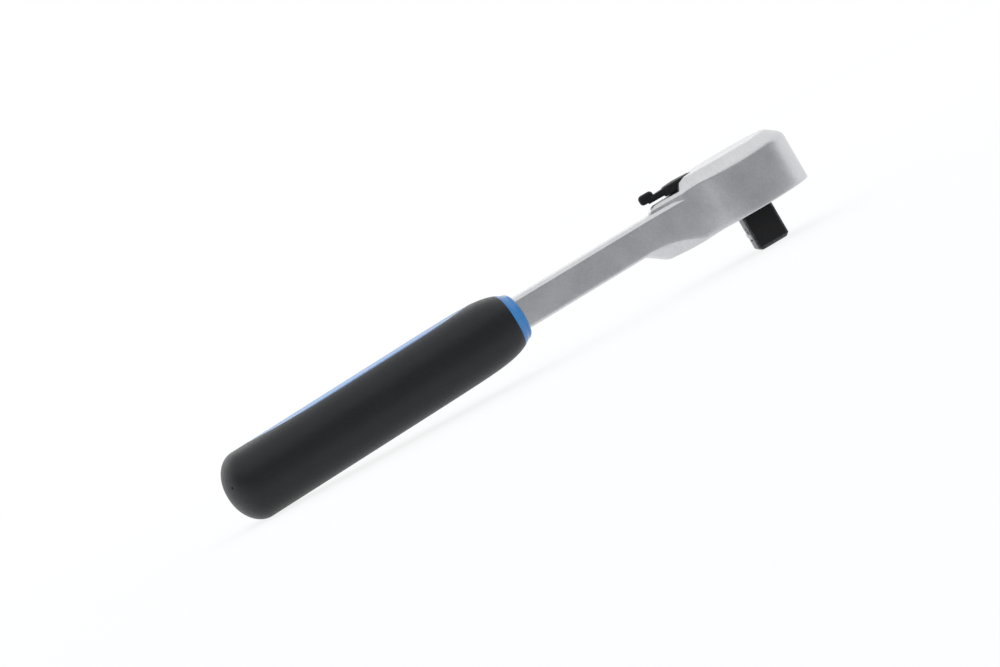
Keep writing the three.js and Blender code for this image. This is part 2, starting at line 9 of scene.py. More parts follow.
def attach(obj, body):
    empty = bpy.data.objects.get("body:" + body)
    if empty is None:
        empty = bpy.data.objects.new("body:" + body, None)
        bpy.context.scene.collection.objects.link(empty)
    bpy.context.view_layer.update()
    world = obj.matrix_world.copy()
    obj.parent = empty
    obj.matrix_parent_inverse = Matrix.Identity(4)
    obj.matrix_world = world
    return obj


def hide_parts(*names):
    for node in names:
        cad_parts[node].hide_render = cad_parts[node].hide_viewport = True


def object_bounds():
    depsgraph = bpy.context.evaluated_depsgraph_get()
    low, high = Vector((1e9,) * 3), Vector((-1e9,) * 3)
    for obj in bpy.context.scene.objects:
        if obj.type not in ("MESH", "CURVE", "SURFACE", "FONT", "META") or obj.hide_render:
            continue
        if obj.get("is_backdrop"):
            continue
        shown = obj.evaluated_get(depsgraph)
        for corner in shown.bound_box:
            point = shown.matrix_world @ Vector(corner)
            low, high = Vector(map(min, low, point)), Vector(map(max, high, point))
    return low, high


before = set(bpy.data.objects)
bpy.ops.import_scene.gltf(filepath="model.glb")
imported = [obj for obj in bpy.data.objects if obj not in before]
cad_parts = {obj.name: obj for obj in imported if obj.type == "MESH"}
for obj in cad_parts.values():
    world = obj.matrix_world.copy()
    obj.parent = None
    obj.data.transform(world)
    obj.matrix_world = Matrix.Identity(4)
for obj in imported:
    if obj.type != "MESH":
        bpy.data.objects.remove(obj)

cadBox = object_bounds()
scene = bpy.context.scene
scene.view_settings.view_transform = "Standard"
print("frame loaded")

mm = 0.001  # lengths below are millimetres, meshes are metres

# camera as fitted to the photograph: turn, rise and roll in degrees, lengths in mm, clip in metres
photoCamera = {
    "turn": 12.533, "rise": 3.506, "roll": -30.497, "distance": 1164.96,
    "target": (-107.571, 0.0, 23.970), "lens": 114.763, "sensor": 36.0,
    "clip": (0.05, 50.0),
}


# axes from turn and rise, rolled about the line of sight, the eye back from the target
def placeCamera(c):
    a, e, r = (math.radians(c[k]) for k in ("turn", "rise", "roll"))
    back = Vector((-math.sin(a) * math.cos(e), -math.cos(a) * math.cos(e), math.sin(e)))
    right = Vector((math.cos(a), -math.sin(a), 0.0))
    up = back.cross(right)
    camX = right * math.cos(r) + up * math.sin(r)
    camY = up * math.cos(r) - right * math.sin(r)
    eye = (Vector(c["target"]) + back * c["distance"]) * mm
    data = bpy.data.cameras.new("photoCamera")
    data.lens = c["lens"]
    data.sensor_width = c["sensor"]
    data.sensor_fit = "HORIZONTAL"
    data.clip_start, data.clip_end = c["clip"]
    cam = bpy.data.objects.new("photoCamera", data)
    scene.collection.objects.link(cam)
    cam.matrix_world = Matrix((
        (camX.x, camY.x, back.x, eye.x),
        (camX.y, camY.y, back.y, eye.y),
        (camX.z, camY.z, back.z, eye.z),
        (0, 0, 0, 1)))
    scene.camera = cam


placeCamera(photoCamera)
print("camera placed")


# surface helpers, a shell is its points (n by 3, mm) and its list of faces

# quads between neighbouring rows and columns of a grid of points, columns may close into a ring
def gridFaces(rows, cols, closed):
    r = np.arange(rows - 1)[:, None] * cols
    c = np.arange(cols if closed else cols - 1)[None, :]
    n = (c + 1) % cols
    return np.stack([r + c, r + n, r + cols + n, r + cols + c], -1).reshape(-1, 4).tolist()


# rings stacked row on row, the first and last ring closed by a flat face
def ringShell(rings):
    rows, cols = rings.shape[:2]
    faces = gridFaces(rows, cols, True)
    faces.append(list(range(cols))[::-1])
    faces.append(list(range((rows - 1) * cols, rows * cols)))
    return rings.reshape(-1, 3), faces


# profile of radius and height carried round the Z axis: x = r cos, y = r sin
def turnedShell(profile, sides=96, centre=(0, 0)):
    p = np.asarray(profile, float)
    t = np.linspace(0, 2 * np.pi, sides, endpoint=False)
    x = centre[0] + p[:, :1] * np.cos(t)
    y = centre[1] + p[:, :1] * np.sin(t)
    return ringShell(np.stack([x, y, np.repeat(p[:, 1:], sides, 1)], -1))


# plan outline carried upward through a list of (height, outline) rows
def stackedShell(levels):
    rings = [np.column_stack([o, np.full(len(o), float(z))]) for z, o in levels]
    return ringShell(np.stack(rings))


# corners of a polyline replaced by arcs that touch both sides: one with a half angle past straight stays,
# and an arc takes at most a share of each side
def roundCorners(corners, radius, steps=6, closed=False, straight=1.56, share=0.48):
    p = np.asarray(corners, float)
    last = len(p) - 1
    out = []
    for i, here in enumerate(p):
        if not closed and i in (0, last):
            out.append(here[None])
            continue
        a, b = p[i - 1] - here, p[(i + 1) % len(p)] - here
        la, lb = np.linalg.norm(a), np.linalg.norm(b)
        a, b = a / la, b / lb
        half = math.acos(max(-1.0, min(1.0, float(a @ b)))) / 2
        if half > straight:
            out.append(here[None])
            continue
        run = min(radius / math.tan(half), share * la, share * lb)
        r = run * math.tan(half)
        middle = here + (a + b) / np.linalg.norm(a + b) * r / math.sin(half)
        v0, v1 = here + a * run - middle, here + b * run - middle
        sweep = math.pi - 2 * half
        f = np.linspace(0, 1, steps)[:, None]
        out.append(middle + (np.sin((1 - f) * sweep) * v0 + np.sin(f * sweep) * v1) / math.sin(sweep))
    return np.concatenate(out)


# smaller and larger of two fields with a rounded crossing of width k
def softMin(a, b, k):
    h = np.maximum(k - np.abs(a - b), 0) / k
    return np.minimum(a, b) - h * h * k / 4


def softMax(a, b, k):
    return -softMin(-a, -b, k)


# shell turned about the Z axis, x cos - y sin and x sin + y cos, then moved along X
def placed(shell, degrees, along=0.0):
    a = math.radians(degrees)
    x, y, z = shell[0].T
    turned = np.column_stack([
        x * math.cos(a) - y * math.sin(a) + along, x * math.sin(a) + y * math.cos(a), z])
    return turned, shell[1]


# shells to one mesh object: points nearer than the weld (in metres) merged, faces outward
def meshObject(name, *shells, weld=2e-7):
    points, faces, start = [], [], 0
    for p, f in shells:
        points.append(p)
        faces += [[i + start for i in face] for face in f]
        start += len(p)
    mesh = bpy.data.meshes.new(name)
    mesh.from_pydata((np.concatenate(points) * mm).tolist(), [], faces)
    work = bmesh.new()
    work.from_mesh(mesh)
    bmesh.ops.remove_doubles(work, verts=work.verts, dist=weld)
    bmesh.ops.dissolve_degenerate(work, edges=work.edges, dist=weld / 20)
    bmesh.ops.recalc_face_normals(work, faces=work.faces)
    work.to_mesh(mesh)
    work.free()
    piece = bpy.data.objects.new(name, mesh)
    scene.collection.objects.link(piece)
    return piece


# boolean with other shells, kept as the piece's own mesh
def joined(piece, operation, *shells):
    for i, shell in enumerate(shells):
        tool = meshObject("tool%d" % i, shell)
        step = piece.modifiers.new("cut", "BOOLEAN")
        step.operation = operation
        step.solver = "MANIFOLD"
        step.object = tool
        bpy.context.view_layer.update()
        made = bpy.data.meshes.new_from_object(piece.evaluated_get(bpy.context.evaluated_depsgraph_get()))
        piece.modifiers.clear()
        old = piece.data
        made.name = old.name
        piece.data = made
        bpy.data.meshes.remove(old)
        bpy.data.meshes.remove(tool.data)
    return piece


# shading, body, the CAD nodes it stands for and its finish
def finishPiece(piece, body, nodes, material, sharp=32):
    piece.data.shade_smooth()
    piece.data.set_sharp_from_angle(angle=math.radians(sharp))
    piece.data.materials.clear()
    piece.data.materials.append(material)
    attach(piece, body)
    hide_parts(*nodes)
    print(piece.name, len(piece.data.polygons), "faces")


# materials

# sRGB hex to linear
def hexColour(text):
    s = np.array([int(text[i:i + 2], 16) for i in (1, 3, 5)]) / 255
    lin = np.where(s <= 0.04045, s / 12.92, ((s + 0.055) / 1.055) ** 2.4)
    return (*lin.tolist(), 1.0)


# one node with its settings, inputs are values or sockets to link
def addNode(tree, kind, inputs=None, **settings):
    node = tree.nodes.new(kind)
    for key, value in settings.items():
        setattr(node, key, value)
    for key, value in (inputs or {}).items():
        if isinstance(value, bpy.types.NodeSocket):
            tree.links.new(value, node.inputs[key])
        else:
            node.inputs[key].default_value = value
    return node


# a material with an empty node tree
def emptyMaterial(name):
    material = bpy.data.materials.new(name)
    material.use_nodes = True
    material.node_tree.nodes.clear()
    return material, material.node_tree


# a material with one shader, and the object's own coordinates for its patterns
def newMaterial(name):
    material, tree = emptyMaterial(name)
    shader = addNode(tree, "ShaderNodeBsdfPrincipled")
    addNode(tree, "ShaderNodeOutputMaterial", {"Surface": shader.outputs[0]})
    place = addNode(tree, "ShaderNodeTexCoord").outputs["Object"]
    return material, tree, shader, place


# grain size in mm to noise scale: one bump is about one over the scale, in metres
def grainScale(size):
    return 1 / (size * mm)


noiseSpan = (0.3, 0.7)  # nearly all of a noise's values lie in here


# tone from low to high over one field, roughness over a second and bump from a third
def dressShader(tree, shader, s, toneBy, roughBy, height):
    tone = addNode(tree, "ShaderNodeValToRGB", {"Fac": toneBy})
    stops = zip(tone.color_ramp.elements, s.get("toneSpan", noiseSpan), (s["low"], s["high"]))
    for stop, at, colour in stops:
        stop.position = at
        stop.color = hexColour(colour)
    least, most = s.get("roughSpan", noiseSpan)
    rough = addNode(tree, "ShaderNodeMapRange", {
        "Value": roughBy, "From Min": least, "From Max": most,
        "To Min": s["rough"][0], "To Max": s["rough"][1]})
    bump = addNode(tree, "ShaderNodeBump", {
        "Strength": s["bump"], "Distance": s["relief"] * mm, "Height": height})
    tree.links.new(tone.outputs["Color"], shader.inputs["Base Color"])
    tree.links.new(rough.outputs["Result"], shader.inputs["Roughness"])
    tree.links.new(bump.outputs["Normal"], shader.inputs["Normal"])


# chromed forging, shot blasted before plating: even grey grain and soft highlights; the grain is drawn
# coarser than real shot marks so that it shows
satin = {
    "low": "#c6c7ca", "high": "#dbdcde", "grain": 0.9, "patch": 9.0, "patchShare": 0.45,
    "rough": (0.28, 0.36), "bump": 0.1, "relief": 0.2,
}


def satinChrome(s):
    material, tree, shader, place = newMaterial("satinChromeBlasted")
    grain = addNode(tree, "ShaderNodeTexNoise", {
        "Vector": place, "Scale": grainScale(s["grain"]), "Detail": 3.0, "Roughness": 0.6})
    patch = addNode(tree, "ShaderNodeTexNoise", {
        "Vector": place, "Scale": grainScale(s["patch"]), "Detail": 2.0, "Roughness": 0.5})
    both = addNode(tree, "ShaderNodeMix", {
        "Factor": s["patchShare"], "A": grain.outputs["Fac"], "B": patch.outputs["Fac"]})
    shader.inputs["Metallic"].default_value = 1.0
    dressShader(tree, shader, s, both.outputs["Result"], patch.outputs["Fac"], grain.outputs["Fac"])
    return material


# steel blacked in a salt bath and oiled: near black, dull sheen, fine grain hardly seen
blacked = {
    "low": "#0e0e0f", "high": "#161617", "toneSpan": (0.3, 0.72), "grain": 0.6,
    "rough": (0.38, 0.55), "bump": 0.12, "relief": 0.1, "specular": 0.22,
}


def blackedSteel(s):
    material, tree, shader, place = newMaterial("blackedSteelOiled")
    grain = addNode(tree, "ShaderNodeTexNoise", {
        "Vector": place, "Scale": grainScale(s["grain"]), "Detail": 4.0, "Roughness": 0.55})
    shader.inputs["Specular IOR Level"].default_value = s["specular"]
    field = grain.outputs["Fac"]
    dressShader(tree, shader, s, field, field, field)
    return material


# the square's blacking rubbed thin by sockets on the upright edges, and a painted reflection of the white
# floor on the tip bevel, both in one grey; lengths in mm
wearAndReflection = {
    "turn": 10.0, "edge": (5.3, 6.2), "tip": (1.5, 0.7), "outer": (4.7, 5.3), "wearAndReflectionGrey": "#77787a",
    "patch": 1.4, "patchSpan": (0.35, 0.6), "share": (0.2, 0.75), "rough": (0.24, 0.36),
}


# black steel with grey painted on: real wear on the upright edges, a painted floor reflection on the tip
# bevel
def wornAndReflectingSquare(s, r):
    material = blackedSteel({**s, "rough": r["rough"]})
    material.name = "blackedSteelWornAndReflecting"
    tree = material.node_tree
    shader = tree.nodes["Principled BSDF"]
    tone = shader.inputs["Base Color"].links[0].from_socket
    place = addNode(tree, "ShaderNodeTexCoord").outputs["Object"]
    square = addNode(tree, "ShaderNodeMapping", {
        "Vector": place, "Rotation": (0, 0, math.radians(r["turn"]))})
    part = addNode(tree, "ShaderNodeSeparateXYZ", {"Vector": square.outputs["Vector"]})
    x = addNode(tree, "ShaderNodeMath", {0: part.outputs["X"]}, operation="ABSOLUTE")
    y = addNode(tree, "ShaderNodeMath", {0: part.outputs["Y"]}, operation="ABSOLUTE")
    corner = addNode(tree, "ShaderNodeMath", {0: x.outputs[0], 1: y.outputs[0]}, operation="MINIMUM")
    edge = addNode(tree, "ShaderNodeMapRange", {
        "Value": corner.outputs[0], "From Min": r["edge"][0] * mm, "From Max": r["edge"][1] * mm})
    # tip bevel: painted reflection of the white floor, drawn in the same grey as the worn edges
    tip = addNode(tree, "ShaderNodeMapRange", {
        "Value": part.outputs["Z"], "From Min": r["tip"][0] * mm, "From Max": r["tip"][1] * mm})
    side = addNode(tree, "ShaderNodeMath", {0: x.outputs[0], 1: y.outputs[0]}, operation="MAXIMUM")
    outer = addNode(tree, "ShaderNodeMapRange", {
        "Value": side.outputs[0], "From Min": r["outer"][0] * mm, "From Max": r["outer"][1] * mm})
    bevel = addNode(tree, "ShaderNodeMath", {
        0: tip.outputs["Result"], 1: outer.outputs["Result"]}, operation="MULTIPLY")
    edgeWearAndTipReflection = addNode(tree, "ShaderNodeMath", {
        0: edge.outputs["Result"], 1: bevel.outputs[0]}, operation="MAXIMUM")
    patch = addNode(tree, "ShaderNodeTexNoise", {
        "Vector": place, "Scale": grainScale(r["patch"]), "Detail": 2.0})
    patchyAmount = addNode(tree, "ShaderNodeMapRange", {
        "Value": patch.outputs["Fac"], "From Min": r["patchSpan"][0], "From Max": r["patchSpan"][1],
        "To Min": r["share"][0], "To Max": r["share"][1]})
    share = addNode(tree, "ShaderNodeMath", {
        0: edgeWearAndTipReflection.outputs[0], 1: patchyAmount.outputs["Result"]}, operation="MULTIPLY")
    # grey mixed in: real wear on the upright edges, painted floor reflection on the tip bevel
    mixed = addNode(tree, "ShaderNodeMix", {
        "Factor": share.outputs[0], "A": tone, "B": hexColour(r["wearAndReflectionGrey"])}, data_type="RGBA")
    tree.links.new(mixed.outputs["Result"], shader.inputs["Base Color"])
    return material


# soft thermoplastic rubber moulded in a spark-eroded tool: half matt with a faint light edge; the pebble
# is drawn coarser than the real one so that it shows
softRubber = {
    "low": "#0d1013", "high": "#13161a", "pebble": 0.9, "patch": 22.0, "rough": (0.4, 0.5),
    "roughSpan": (0.1, 0.7), "bump": 0.18, "relief": 0.12, "specular": 0.4, "sheen": (0.05, 0.35),
}


def gripRubber(s):
    material, tree, shader, place = newMaterial("softRubberMoulded")
    pebble = addNode(tree, "ShaderNodeTexVoronoi", {
        "Vector": place, "Scale": grainScale(s["pebble"]), "Randomness": 1.0}, feature="SMOOTH_F1")
    patch = addNode(tree, "ShaderNodeTexNoise", {
        "Vector": place, "Scale": grainScale(s["patch"]), "Detail": 3.0, "Roughness": 0.55})
    shader.inputs["Specular IOR Level"].default_value = s["specular"]
    shader.inputs["Sheen Weight"].default_value = s["sheen"][0]
    shader.inputs["Sheen Roughness"].default_value = s["sheen"][1]
    height = pebble.outputs["Distance"]
    dressShader(tree, shader, s, patch.outputs["Fac"], height, height)
    return material


# hard polypropylene, injection moulded in a half-polished tool: even blue with a soft streak of light and
# a faint flow pattern along the handle
hardBlue = {
    "low": "#2f76b4", "high": "#3a82bf", "flow": 7.0, "stretch": (0.25, 1.0, 1.0), "grain": 0.5,
    "rough": (0.16, 0.22), "bump": 0.02, "relief": 0.1,
}


def bluePolypropylene(s):
    material, tree, shader, place = newMaterial("bluePolypropyleneMoulded")
    along = addNode(tree, "ShaderNodeMapping", {"Vector": place, "Scale": s["stretch"]})
    flow = addNode(tree, "ShaderNodeTexNoise", {
        "Vector": along.outputs["Vector"], "Scale": grainScale(s["flow"]), "Detail": 2.0})
    grain = addNode(tree, "ShaderNodeTexNoise", {
        "Vector": place, "Scale": grainScale(s["grain"]), "Detail": 2.0})
    field = grain.outputs["Fac"]
    dressShader(tree, shader, s, flow.outputs["Fac"], field, field)
    return material


# turned or ground steel: plain metal with fine lines, drawn coarser than real ones so that they show
ground = {"lines": (1.0, 1.0, 6.0), "grain": 0.9, "bump": 0.05, "relief": 0.1}


def groundSteel(name, s):
    material, tree, shader, place = newMaterial(name)
    lay = addNode(tree, "ShaderNodeMapping", {"Vector": place, "Scale": s["lines"]})
    grind = addNode(tree, "ShaderNodeTexNoise", {
        "Vector": lay.outputs["Vector"], "Scale": grainScale(s["grain"]), "Detail": 3.0, "Roughness": 0.6})
    shader.inputs["Metallic"].default_value = 1.0
    field = grind.outputs["Fac"]
    dressShader(tree, shader, s, field, field, field)
    return material


chromeSatin = satinChrome(satin)
steelBlack = wornAndReflectingSquare(blacked, wearAndReflection)
rubberSoft = gripRubber(softRubber)
plasticBlue = bluePolypropylene(hardBlue)
steelCover = groundSteel("coverSteelSatin", {
    **ground, "low": "#8f9094", "high": "#9fa0a4", "rough": (0.34, 0.44), "lines": (1.0, 8.0, 1.0)})
steelBright = groundSteel("bearingSteelGround", {
    **ground, "low": "#b4b6ba", "high": "#c6c8cb", "rough": (0.16, 0.26)})
steelSpring = groundSteel("springWireDrawn", {
    **ground, "low": "#7d7e82", "high": "#96979b", "rough": (0.3, 0.42), "lines": (4.0, 1.0, 1.0),
    "grain": 0.5})
steelScrew = blackedSteel({**blacked, "low": "#1c1c1e", "high": "#2a2a2c", "grain": 0.4})
steelScrew.name = "screwSteelBlacked"
leverBlack = blackedSteel({**blacked, "low": "#131314", "high": "#1b1b1d"})
leverBlack.name = "castingPhosphateBlack"
rubberRing = gripRubber({**softRubber, "pebble": 0.4})
rubberRing.name = "ringRubberMoulded"
print("materials made")


# forging: round head, flares, neck, raised shelf under the lever and the boss below the head's tail;
# keel and lens give the ends and softness of a rise, sag its depth, middle and width, and rows are the
# steps (mm) and counts of the grid
forging = {
    "headRadius": 23.5, "bottom": 15.0, "top": 38.7, "shoulder": 34.4, "bevelRun": 5.8, "topEdge": 1.1,
    "flareRadius": 40.0, "flareShare": 0.8, "neckHalf": 6.5, "neckLow": 20.3, "neckHigh": 32.7,
    "neckChamfer": 1.2, "neckFoot": 0.5, "neckEnd": -101.0,
    "keel": (-37.8, -45.5, 0.8), "lens": (-24.9, -35.2, 3.6), "belly": 5.0, "sag": (1.0, -27.0, 9.0),
    "foot": ((-45, -30, -22, -5), (0.4, 0.1, 0.0, 0.1)), "lowEdge": 0.3, "ledgeEdge": 0.25,
    "shelf": 35.1, "step": (-24.1, 1.35), "tail": 32.5, "tailRadius": 3.0, "tailFall": (-33.6, 0.7),
    "rim": ((-34, -24, -14), (34.2, 34.3, 34.4)), "hullRoom": ((-24, -16), (0.6, 0.02)),
    "rimEdge": ((-24, -14, -4, 20), (0.25, 0.8, 1.3, 1.5)),
    "soft": {"boss": 0.5, "shelf": 0.5, "step": 0.35, "tail": 0.8, "chamfer": 0.3},
    "rows": {
        "neckStep": 1.6, "fineRun": 6.0, "fine": 14, "flare": 110, "head": 96, "search": 800,
        "edge": 9, "near": (0.2, 5.0, 0.4), "bevel": (5.0, 6.7, 0.2), "far": 22,
        "ledge": 30, "ledgeEase": 1.5, "wall": 13, "hullWall": 7, "least": 0.01,
    },
}
tangBox = {"end": -188.0, "half": 5.6, "thick": 9.0, "overlap": 1.0, "lean": 1.1, "pivot": (-98.2, 26.5)}
gearRoom = {
    "bore": 12.8, "boreTop": 30.1, "journal": 7.9, "journalTop": 33.6, "floor": 17.8,
    "pawl": ((-6.4, 10.6), (-12.6, 10.6), (-16.5, 9.2), (-19.4, 6.4), (-22.2, 5.1)),
}
leverRoom = {"pivot": -22.2, "hub": 6.75, "ahead": 1.2, "shaft": 3.1, "shaftSides": 40, "keeper": 5.1}
coverRoom = {"radius": 18.3, "tailRadius": 3.6, "tail": 30.1, "gap": 0.12}
over = 1.0  # mm by which a cutting shell runs past a face


# centre of the flare's arc, which touches the neck's side and the head's circle
def flareCentre(f):
    y = f["neckHalf"] + f["flareRadius"]
    return -math.sqrt((f["headRadius"] + f["flareRadius"]) ** 2 - y ** 2), y


# plan outline from the neck's end round the nose and back, with the inward normal and the depth to the
# middle at each point: a straight line, an arc about the flare's centre and an arc about the head's centre
def forgingOutline(f):
    rows = f["rows"]
    flareX, flareY = flareCentre(f)
    fineX = flareX - rows["fineRun"]
    far = np.arange(f["neckEnd"], fineX, rows["neckStep"])
    near = np.linspace(fineX, flareX, rows["fine"], endpoint=False)
    x = np.concatenate([far, near])
    neck = np.column_stack([x, np.full(len(x), -f["neckHalf"])])
    neckNormal = np.tile([0.0, 1.0], (len(x), 1))
    meet = math.atan2(flareY, -flareX)
    t = np.linspace(math.pi / 2, meet, rows["flare"], endpoint=False)
    ray = np.column_stack([np.cos(t), np.sin(t)])
    flare = np.array([flareX, -flareY]) + f["flareRadius"] * ray
    t = np.linspace(meet - math.pi, 0, rows["head"])
    out = np.column_stack([np.cos(t), np.sin(t)])
    half = np.concatenate([neck, flare, f["headRadius"] * out])
    normal = np.concatenate([neckNormal, ray, -out])
    depth = np.concatenate([
        np.full(len(x), f["neckHalf"]), -flare[:, 1] / ray[:, 1], np.full(len(t), f["headRadius"])])
    mirror = np.array([1.0, -1.0])
    return (np.concatenate([half, half[-2::-1] * mirror]),
            np.concatenate([normal, normal[-2::-1] * mirror]),
            np.concatenate([depth, depth[-2::-1]]))


# how far a point lies inside the hull of the head's circle and a small circle toward the neck: radius less
# the distance from the nearer centre, or the distance from the tangent beside both
def insideHull(f, x, y):
    across, along = np.abs(y), -x
    lean = (f["headRadius"] - f["tailRadius"]) / f["tail"]
    flat = math.sqrt(1 - lean * lean)
    k = -lean * across + flat * along
    far = np.where(k < 0, np.hypot(across, along) - f["headRadius"],
                   np.where(k > flat * f["tail"], np.hypot(across, along - f["tail"]) - f["tailRadius"],
                            across * flat + along * lean - f["headRadius"]))
    return -far


# where the inward line from each outline point first meets the hull's edge
def hullStart(f, outline, normal, depth):
    share = np.linspace(0, 1, f["rows"]["search"])
    d = depth[:, None] * share
    inside = insideHull(f, outline[:, :1] + normal[:, :1] * d, outline[:, 1:] + normal[:, 1:] * d)
    reached = inside > -np.interp(outline[:, :1], *f["hullRoom"])
    first = np.argmax(reached, 1)
    found = np.where(first > 0, d[np.arange(len(d)), first], 0.0)
    return np.where(reached.any(1), found, depth)


# top of the raised part: bevel from the hull's edge, flat top, step down to the shelf, fall at its tail
def raisedTop(f, x, y):
    soft = f["soft"]
    slope = (f["top"] - f["shoulder"]) / f["bevelRun"]
    rim = np.interp(x, *f["rim"])
    z = softMin(rim + insideHull(f, x, y) * slope, f["top"] + 0 * x, f["topEdge"])
    step = f["shelf"] + (x - f["step"][0]) * f["step"][1]
    z = softMin(z, softMax(step, f["shelf"] + 0 * x, soft["shelf"]), soft["step"])
    return softMin(z, f["shelf"] + (x - f["tailFall"][0]) * f["tailFall"][1], soft["tail"])


# top of neck and flare: the smaller of a flat and a slope of one from the outline, which is the chamfer
def ledgeTop(f, d):
    return softMin(f["neckHigh"] - f["neckChamfer"] + d, f["neckHigh"] + 0 * d, f["soft"]["chamfer"])


# lower height: across the tool a full curve from the keel line to the wall line, both rising from the
# boss to the neck, the keel sagging in a bell curve, and a small chamfer along the outline
def forgingBottom(f, x, y, d):
    rise = f["neckLow"] - f["bottom"]
    lines = []
    for begin, end, soft in (f["keel"], f["lens"]):
        ramp = f["bottom"] + rise * (x - begin) / (end - begin)
        boss = softMax(ramp, f["bottom"] + 0 * x, f["soft"]["boss"])
        lines.append(softMin(boss, f["neckLow"] + 0 * x, soft))
    flareX, flareY = flareCentre(f)
    run = np.clip(x - flareX, 0, f["flareRadius"] * f["flareShare"])
    half = flareY - np.sqrt(f["flareRadius"] ** 2 - run * run)
    share = np.minimum(np.abs(y / half) ** f["belly"], 1)
    depth, middle, width = f["sag"]
    keel = lines[0] - depth * np.exp(-((x - middle) / width) ** 2)
    foot = np.interp(x, *f["foot"])
    return keel + (lines[1] - keel) * share + np.maximum(foot - d, 0)


# fall of a rounded edge of radius e at a distance d behind it
def edgeDrop(e, d):
    return np.where(d < e, e - np.sqrt(np.maximum(e * e - (e - d) ** 2, 0)), 0.0)


# skin of the forging: at each outline point a profile runs in along the lower side, up the wall, along the
# ledge, up the hull's wall and in along the raised top
def forgingShell(f):
    rows = f["rows"]
    outline, normal, depth = forgingOutline(f)
    depth = depth[:, None]
    e = np.interp(outline[:, :1], *f["rimEdge"])
    rim = e.max() * (1 - np.cos(np.linspace(0, np.pi / 2, rows["edge"])))
    gap, nearEnd, nearStep = rows["near"]
    fixed = np.concatenate([rim, np.arange(e.max() + gap, nearEnd, nearStep), np.arange(*rows["bevel"])])
    share = np.linspace(0, 1, rows["far"])[1:]

    # plan point at a distance d in from the outline
    def at(d):
        return outline[:, :1] + normal[:, :1] * d, outline[:, 1:] + normal[:, 1:] * d

    # distances in from an edge: fixed ones first, then shares of what is left, none past the reach
    def distances(reach):
        left = fixed[-1] + (reach - fixed[-1]) * share
        return np.minimum(np.concatenate([np.tile(fixed, (len(reach), 1)), left], 1), reach)

    dLow = distances(depth)
    xLow, yLow = at(dLow)
    low = forgingBottom(f, xLow, yLow, dLow) + edgeDrop(f["lowEdge"], dLow)
    start = hullStart(f, outline, normal, depth[:, 0])[:, None]
    dLedge = start * np.linspace(0, 1, rows["ledge"]) ** rows["ledgeEase"]
    xLedge, yLedge = at(dLedge)
    ledge = ledgeTop(f, dLedge) - edgeDrop(f["ledgeEdge"], dLedge)
    rest = depth - start
    inward = distances(rest)
    xTop, yTop = at(start + inward)
    top = np.maximum(raisedTop(f, xTop, yTop) - edgeDrop(e, inward), ledgeTop(f, start + inward))
    top = np.where(rest > rows["least"], top, ledge[:, -1:])
    rise = np.linspace(0, 1, rows["wall"])[1:-1]
    wall = low[:, :1] + (ledge[:, :1] - low[:, :1]) * rise
    step = np.linspace(0, 1, rows["hullWall"])[1:-1]
    upper = ledge[:, -1:] + (top[:, :1] - ledge[:, -1:]) * step
    px, py = (
        np.concatenate([
            under[:, ::-1], np.repeat(under[:, :1], len(rise), 1), along,
            np.repeat(above[:, :1], len(step), 1), above], 1)
        for under, along, above in ((xLow, xLedge, xTop), (yLow, yLedge, yTop)))
    pz = np.concatenate([low[:, ::-1], wall, ledge, upper, top], 1)
    grid = np.stack([px, py, pz], -1).transpose(1, 0, 2)  # rows up the profile, columns round the outline
    high, cols = grid.shape[:2]
    faces = gridFaces(high, cols, False)
    first = [r * cols for r in range(high)]
    last = [r * cols + cols - 1 for r in range(high - 2, 0, -1)]
    faces.append(first + last)  # flat end of the neck, inside the collar
    return grid.reshape(-1, 3), faces


# plan outline of two circles and their tangents, the small one toward the neck
def hullOutline(radius, tailRadius, tail, steps=72):
    half = math.pi / 2 + math.asin((radius - tailRadius) / tail)
    t = np.linspace(-half, half, steps)
    head = radius * np.column_stack([np.cos(t), np.sin(t)])
    t = np.linspace(half, 2 * math.pi - half, steps // 2)
    end = np.array([-tail, 0]) + tailRadius * np.column_stack([np.cos(t), np.sin(t)])
    return np.concatenate([head, end])


# a straight cylinder standing on the plan
def post(radius, bottom, top, centre=(0, 0), sides=72):
    return turnedShell([(radius, bottom), (radius, top)], sides, centre)


# a straight cylinder lying along X between two ends: y = r cos, z = height + r sin
def lyingPost(radius, height, ends, sides):
    x, t = np.meshgrid(ends, np.linspace(0, 2 * np.pi, sides, endpoint=False), indexing="ij")
    return ringShell(np.stack([x, radius * np.cos(t), height + radius * np.sin(t)], -1))


# a ball: radius times cos and height plus radius times sin of the latitude, carried round the Z axis
def ballShell(radius, centre, rows, sides):
    lat = np.linspace(-np.pi / 2, np.pi / 2, rows)
    profile = np.column_stack([radius * np.cos(lat), centre[2] + radius * np.sin(lat)])
    return turnedShell(profile, sides, centre[:2])


# the handle's lean: a small turn in the side view about the collar's front, x cos - z sin, x sin + z cos
def leaned(points):
    a = math.radians(tangBox["lean"])
    pivotX, pivotZ = tangBox["pivot"]
    x, z = points[:, 0] - pivotX, points[:, 2] - pivotZ
    return np.column_stack([
        pivotX + x * math.cos(a) - z * math.sin(a), points[:, 1],
        pivotZ + x * math.sin(a) + z * math.cos(a)])


# plan corners of a box from x0 to x1, as wide on both sides of the middle
def boxOutline(x0, x1, half):
    return np.array([[x0, -half], [x1, -half], [x1, half], [x0, half]], float)


